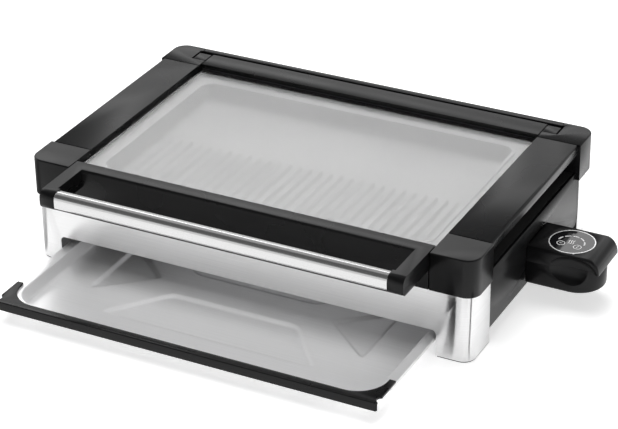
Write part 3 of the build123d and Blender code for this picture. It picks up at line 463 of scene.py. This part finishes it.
class GRILL_OT_mouldings(Operator):
    """Eases the edges of the moulded and folded pieces"""
    bl_idname = "grill.mouldings"
    bl_label = "Mouldings"

    def execute(self, context):
        edge = context.scene.grill_finish.edge
        for side in ("left", "right"):
            eased(f"corner_post_front_{side}", edge)
            eased(f"corner_post_rear_{side}", edge)
            eased(f"rail_{side}", edge)
            eased(f"side_panel_{side}", edge)
        for node in ("rear_strip", "lid_front_frame", "lid_rear_rail", "tray_bar",
                     "control_upper_shell", "control_lower_shell"):
            eased(node, edge)
        for node in ("housing_front", "housing_rear"):
            eased(node, edge / 2)
        return {"FINISHED"}


class GRILL_OT_tray(Operator):
    """Draws the drip tray as one sheet, with its pressed fields and its turned rim"""
    bl_idname = "grill.tray"
    bl_label = "Drip tray"

    def execute(self, context):
        look = context.scene.grill_tray
        low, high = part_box("drip_tray")
        middle = (low + high) / 2
        steep = math.pi / 2 - look.lean
        floor = high.z - look.depth
        inset = (look.rim + look.sheet + look.depth * math.tan(look.lean)
                 + look.foot * math.tan(steep / 2))
        half_x, half_y = (high.x - low.x) / 2 - inset, (high.y - low.y) / 2 - inset
        radius = look.corner - inset + look.rim + look.sheet

        def height(x, y):
            """The floor, less the depth of the fields times the largest share that has sunk."""
            fields = [sunk(x, side * y, TRAPEZOID, look.slope, look.soft) for side in (1, -1)]
            fields += [sunk(side * x, y, TRIANGLE, look.slope, look.soft) for side in (1, -1)]
            return floor - look.field * np.max(fields, 0)

        # The wall's section: an arc at its foot, a straight lean, an arc onto the rim, the flat rim
        # and the turned edge. An arc's step and rise are its radius times sine and one less cosine.
        foot = np.linspace(0, steep, 7)[1:]
        roll = np.linspace(steep, 0, 6)
        turn = np.linspace(0, math.pi / 2, 5)
        wall_low = floor + look.foot * (1 - math.cos(steep))
        wall_top = high.z - look.bend * (1 - math.cos(steep))
        start = look.foot * math.sin(steep) + (wall_top - wall_low) * math.tan(look.lean)
        steps = np.concatenate((look.foot * np.sin(foot),
                                start + look.bend * (math.sin(steep) - np.sin(roll)),
                                inset - look.edge * (1 - np.sin(turn)), [inset]))
        rises = np.concatenate((floor + look.foot * (1 - np.cos(foot)),
                                high.z - look.bend * (1 - np.cos(roll)),
                                high.z - look.edge * (1 - np.cos(turn)), [high.z - look.lip]))
        points, faces = pan(half_x, half_y, radius, 220, 140, 12, height, steps, rises)
        points[:, :2] += (middle.x, middle.y)
        thick(surface("drip_tray_sheet", points, faces, "tray_steel", "tray", "drip_tray"),
              look.sheet)
        return {"FINISHED"}


class GRILL_OT_handle(Operator):
    """Draws the handle's steel sleeve, and a black strip along its lower front edge as a painted
    dark reflection
    """
    bl_idname = "grill.handle"
    bl_label = "Lid handle"

    def execute(self, context):
        look = context.scene.grill_handle
        low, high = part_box("lid_handle")
        ends = np.array((0, look.end))
        x = np.concatenate((low.x + ends,
                            np.linspace(low.x + 5 * look.end, high.x - 5 * look.end, 7),
                            high.x - ends[::-1]))[:, None]

        # Four arcs, one at each corner of the profile, joined by straight lines. The top drops
        # towards the back with the square of the way there.
        radii = np.array((look.back_round, look.top_round, look.low_round, look.back_round))
        centre_y = np.array((high.y, low.y, low.y, high.y)) + radii * (-1, 1, 1, -1)
        centre_z = np.array((high.z, high.z, low.z, low.z)) + radii * (-1, -1, 1, 1)
        angle = np.arange(4)[:, None] * np.pi / 2 + np.linspace(0, np.pi / 2, 15)
        y = (centre_y[:, None] + radii[:, None] * np.cos(angle)).reshape(-1)
        z = (centre_z[:, None] + radii[:, None] * np.sin(angle)).reshape(-1)
        way_back = np.clip((y - low.y) / (high.y - low.y), 0, 1)
        z -= look.fall * way_back ** 2 * (z > (low.z + high.z) / 2)
        points = np.stack(np.broadcast_arrays(x, y, z), -1)
        faces = grid_faces(len(x), len(y), closed=True)
        thick(surface("handle_sleeve", points, faces, "handle_steel", "lid", "lid_handle"),
              look.sheet)

        # The painted dark reflection is one more arc, just outside the lower front one: a black
        # strip that stands in for the dark surroundings the steel's lower front edge reflects
        angle = np.linspace(look.painted_reflection_start, look.painted_reflection_start + look.seam / look.low_round, 9)
        y = low.y + look.low_round + (look.low_round + look.proud) * np.cos(angle)
        z = low.z + look.low_round + (look.low_round + look.proud) * np.sin(angle)
        points = np.stack(np.broadcast_arrays(x, y, z), -1)
        thick(surface("handle_painted_reflection", points, grid_faces(len(x), len(y)), "frame_plastic", "lid"),
              look.painted_reflection_sheet)
        return {"FINISHED"}


class GRILL_OT_marks(Operator):
    """Prints the bars and the icons on the touch disc"""
    bl_idname = "grill.marks"
    bl_label = "Disc marks"

    def execute(self, context):
        look = context.scene.grill_marks
        low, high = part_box("touch_disc")
        middle = np.array(((low.x + high.x) / 2, (low.y + high.y) / 2))
        top = high.z + look.height

        def ring(centre, radius, width, starts, sweep, count):
            """Arcs about a centre, by the cosine and sine of the angle, as two edges."""
            angle = np.radians(np.asarray(starts, float)[:, None] + np.linspace(0, sweep, count))
            way = np.stack((np.cos(angle), np.sin(angle)), -1)
            return [middle + centre + way * (radius + side * width / 2) for side in (-1, 1)]

        def line(lines, width):
            """The two edges of lines, half the width off along their normals."""
            lines = middle + np.asarray(lines, float)
            along = np.gradient(lines, axis=1)
            along /= np.linalg.norm(along, axis=-1)[..., None]
            across = np.stack((along[..., 1], -along[..., 0]), -1) * width / 2
            return [lines - across, lines + across]

        # Each wave climbs evenly, leans to the right and swings by a sine of its height
        share = np.linspace(0, 1, 17)
        waves = np.stack([np.stack((shift + 0.0009 * share + 0.0006 * np.sin(2 * np.pi * share),
                                    -0.0050 + 0.0076 * share), -1)
                          for shift in (-0.0033, -0.0010, 0.0013)])
        left, right = np.array((-0.0097, -0.0071)), np.array((0.0085, -0.0083))
        dash = np.stack((left[0] + 0.0032 * (share - 0.5), 0 * share + left[1]), -1)[None]
        stroke = np.stack((right[0] + 0.0012 * (share - 0.5),
                           right[1] + 0.0042 * (share - 0.5)), -1)[None]
        parts = {
            "bars": ring((-0.0007, -0.0030), look.arc_radius, look.bar_width,
                         [-32 + 35 * k for k in range(1, 6)], 27, 15),
            "icon_left": ring(left, look.icon_radius, look.line, [0], 360, 49),
            "icon_right": ring(right, look.icon_radius, look.line, [0], 360, 49),
            "dash": line(dash, look.line),
            "stroke": line(stroke, look.line),
            "waves": line(waves, look.line),
            "studs": ring((-0.0006, -0.0010), 0.02455, 0.0011, [114, -66], 4, 7),
        }
        for name, (inner, outer) in parts.items():
            points, faces = strips(np.asarray(inner), np.asarray(outer), top)
            thick(surface(f"disc_{name}", points, faces, "ring_metal", "control"), look.height)
        return {"FINISHED"}


class GRILL_OT_stage(Operator):
    """Sets the floor, the lights and the camera"""
    bl_idname = "grill.stage"
    bl_label = "Studio"

    def execute(self, context):
        studio = context.scene.grill_studio
        context.scene.view_settings.view_transform = "Standard"
        self.floor(context, studio)
        self.world(context.scene, studio)
        self.cards(context)
        self.lamp(context, "lamp_above", (-0.4, 0.5, 2.4), (0, 0, 0), 1.8, studio.lamp)
        self.lamp(context, "lamp_front", (1.8, -1.0, 0.5), (0, -0.2, 0), 0.7, studio.fill)
        self.camera(context, studio)
        return {"FINISHED"}

    @staticmethod
    def floor(context, studio, span=30.0):
        """A pale floor that keeps the object's shadow and glows a little where it is seen."""
        mesh = bpy.data.meshes.new("floor")
        mesh.from_pydata([(-span, -span, 0), (span, -span, 0), (span, span, 0), (-span, span, 0)],
                         (), [(0, 1, 2, 3)])
        floor = bpy.data.objects.new("floor", mesh)
        context.collection.objects.link(floor)
        g = Graph("floor_white", (0.86, 0.86, 0.86), 0.9, Specular_IOR_Level=0.0)
        path = g.add("ShaderNodeLightPath").outputs
        seen = g.add("ShaderNodeMath", {0: path["Is Camera Ray"], 1: path["Is Transmission Ray"]},
                     operation="MAXIMUM")
        glow = g.add("ShaderNodeMath", {0: seen.outputs[0], 1: studio.floor_seen},
                     operation="MULTIPLY")
        gloss = g.add("ShaderNodeMath", {0: path["Is Glossy Ray"], 1: studio.floor_mirrored,
                                         2: glow.outputs[0]}, operation="MULTIPLY_ADD")
        g.feed("Emission Strength", gloss.outputs[0])
        g.shader.inputs["Emission Color"].default_value = (1, 1, 1, 1)
        mesh.materials.append(g.material)

    def world(self, scene, studio):
        """White where it is seen, and a soft even light on the object. Polished faces show a band
        low behind the object, brighter on the left, with a paler part above it. In front they
        show white near the floor and the dull ceiling higher up."""
        world = bpy.data.worlds.new("studio")
        scene.world = world
        world.use_nodes = True
        tree = world.node_tree
        path = tree.nodes.new("ShaderNodeLightPath").outputs
        split = tree.nodes.new("ShaderNodeSeparateXYZ")
        tree.links.new(tree.nodes.new("ShaderNodeTexCoord").outputs["Generated"], split.inputs[0])
        x, y, z = split.outputs

        rise = self.ramp(tree, z, 0.38, 0.46, 0.9, studio.softbox)
        left = self.ramp(tree, x, -0.55, -0.15, 0.85, 0.6)
        fall = self.ramp(tree, z, 0.54, 0.6, 1.0, studio.back / studio.softbox)
        behind = self.join(tree, "MULTIPLY", self.join(tree, "MULTIPLY", rise, left), fall)
        front = self.ramp(tree, z, 0.26, 0.4, 0.95, studio.ceiling)
        share = self.ramp(tree, y, -0.14, 0.04, 0.0, 1.0)
        gain = self.join(tree, "MULTIPLY", self.join(tree, "SUBTRACT", behind, front), share)
        mirrored = self.join(tree, "ADD", front, gain)

        seen = self.join(tree, "MAXIMUM", path["Is Camera Ray"], path["Is Transmission Ray"])
        strength = self.ramp(tree, seen, 0.0, 1.0, studio.ambient, 1.0)
        gap = self.join(tree, "MULTIPLY", path["Is Glossy Ray"],
                        self.join(tree, "SUBTRACT", mirrored, strength))
        back = tree.nodes["Background"].inputs
        tree.links.new(self.join(tree, "ADD", strength, gap), back["Strength"])
        back["Color"].default_value = (1, 1, 1, 1)

    def cards(self, context):
        """Two dark upright cards by the front right corner of the steel, and a grey one on the
        floor by the left one. Their ends are in metres from the corner, rightwards and back."""
        low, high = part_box("housing_front")
        up = Vector((0, 0, high.z - 0.001))
        for name, near, far in (("flag_front", (-0.0199, -0.008), (-0.0344, -0.022)),
                                ("flag_side", (0.00515, 0.00084), (0.00585, 0.00376))):
            near, far = [Vector((high.x, low.y, 0.001)) + Vector((*end, 0)) for end in (near, far)]
            self.flag(context, name, 0.01, (near, far, far + up, near + up))
        left = ((-0.004, -0.004), (-0.004, 0.3), (-0.3, 0.3), (-0.3, -0.25))
        self.flag(context, "flag_left", 0.35,
                  [Vector((low.x, low.y, 0.0004)) + Vector((*end, 0)) for end in left])

    @staticmethod
    def camera(context, studio):
        """The axes are the direction away from the object, by azimuth and elevation, and the two
        across it, turned by the roll."""
        data = bpy.data.cameras.new("camera")
        data.lens = studio.lens
        data.sensor_width = 36.0
        data.shift_x, data.shift_y = CAMERA_SHIFT
        data.clip_end = 100.0
        camera = bpy.data.objects.new("camera", data)
        context.collection.objects.link(camera)
        azimuth, elevation, roll = map(math.radians, CAMERA_TURN)
        away = Vector((math.sin(azimuth) * math.cos(elevation),
                       -math.cos(azimuth) * math.cos(elevation), math.sin(elevation)))
        right = Vector((0, 0, 1)).cross(away).normalized()
        up = away.cross(right)
        turned = right * math.cos(roll) + up * math.sin(roll)
        raised = up * math.cos(roll) - right * math.sin(roll)
        camera.matrix_world = (Matrix.Translation(mm(*CAMERA_PLACE))
                               @ Matrix((turned, raised, away)).transposed().to_4x4())
        context.scene.camera = camera

    @staticmethod
    def flag(context, name, shade, corners):
        """A dull card with four corners that only polished faces show."""
        mesh = bpy.data.meshes.new(name)
        mesh.from_pydata([tuple(corner) for corner in corners], (), [(0, 1, 2, 3)])
        mesh.materials.append(Graph(name + "_card", (shade, shade, shade), 0.9).material)
        card = bpy.data.objects.new(name, mesh)
        context.collection.objects.link(card)
        card.visible_camera = card.visible_diffuse = card.visible_shadow = False
        card.visible_transmission = False

    @staticmethod
    def ramp(tree, value, start, end, low, high):
        """A value eased from low to high as another one goes from start to end."""
        node = tree.nodes.new("ShaderNodeMapRange")
        node.interpolation_type = "SMOOTHSTEP"
        limits = {"From Min": start, "From Max": end, "To Min": low, "To Max": high}
        for name, number in limits.items():
            node.inputs[name].default_value = number
        tree.links.new(value, node.inputs["Value"])
        return node.outputs[0]

    @staticmethod
    def join(tree, kind, first, second):
        """The outcome of a sum or product of two values."""
        node = tree.nodes.new("ShaderNodeMath")
        node.operation = kind
        tree.links.new(first, node.inputs[0])
        tree.links.new(second, node.inputs[1])
        return node.outputs[0]

    @staticmethod
    def lamp(context, name, place, target, size, power):
        """A square lamp turned to a target, which neither camera nor polished faces show."""
        data = bpy.data.lights.new(name, "AREA")
        data.size = size
        data.energy = power
        lamp = bpy.data.objects.new(name, data)
        context.collection.objects.link(lamp)
        lamp.location = place
        lamp.rotation_euler = (Vector(place) - Vector(target)).to_track_quat("Z", "Y").to_euler()
        lamp.visible_camera = False
        lamp.visible_glossy = False


class GRILL_PT_panel(Panel):
    bl_idname = "GRILL_PT_panel"
    bl_label = "Table Grill"
    bl_space_type = "VIEW_3D"
    bl_region_type = "UI"
    bl_category = "Table Grill"

    def draw(self, context):
        scene = context.scene
        for group in (scene.grill_finish, scene.grill_tray, scene.grill_handle, scene.grill_marks,
                      scene.grill_studio):
            box = self.layout.box()
            for name in group.__annotations__:
                box.prop(group, name)
        for operator in OPERATORS:
            self.layout.operator(operator.bl_idname)


GROUPS = (GrillFinish, GrillTray, GrillHandle, GrillMarks, GrillStudio)
OPERATORS = (GRILL_OT_finishes, GRILL_OT_mouldings, GRILL_OT_tray, GRILL_OT_handle, GRILL_OT_marks,
             GRILL_OT_stage)


def register():
    for cls in (*GROUPS, *OPERATORS, GRILL_PT_panel):
        bpy.utils.register_class(cls)
    bpy.types.Scene.grill_finish = PointerProperty(type=GrillFinish)
    bpy.types.Scene.grill_tray = PointerProperty(type=GrillTray)
    bpy.types.Scene.grill_handle = PointerProperty(type=GrillHandle)
    bpy.types.Scene.grill_marks = PointerProperty(type=GrillMarks)
    bpy.types.Scene.grill_studio = PointerProperty(type=GrillStudio)


def unregister():
    del bpy.types.Scene.grill_studio
    del bpy.types.Scene.grill_marks
    del bpy.types.Scene.grill_handle
    del bpy.types.Scene.grill_tray
    del bpy.types.Scene.grill_finish
    for cls in reversed((*GROUPS, *OPERATORS, GRILL_PT_panel)):
        bpy.utils.unregister_class(cls)


def main():
    register()
    for operator in OPERATORS:
        group, name = operator.bl_idname.split(".")
        getattr(getattr(bpy.ops, group), name)()


if __name__ == "__main__":
    main()
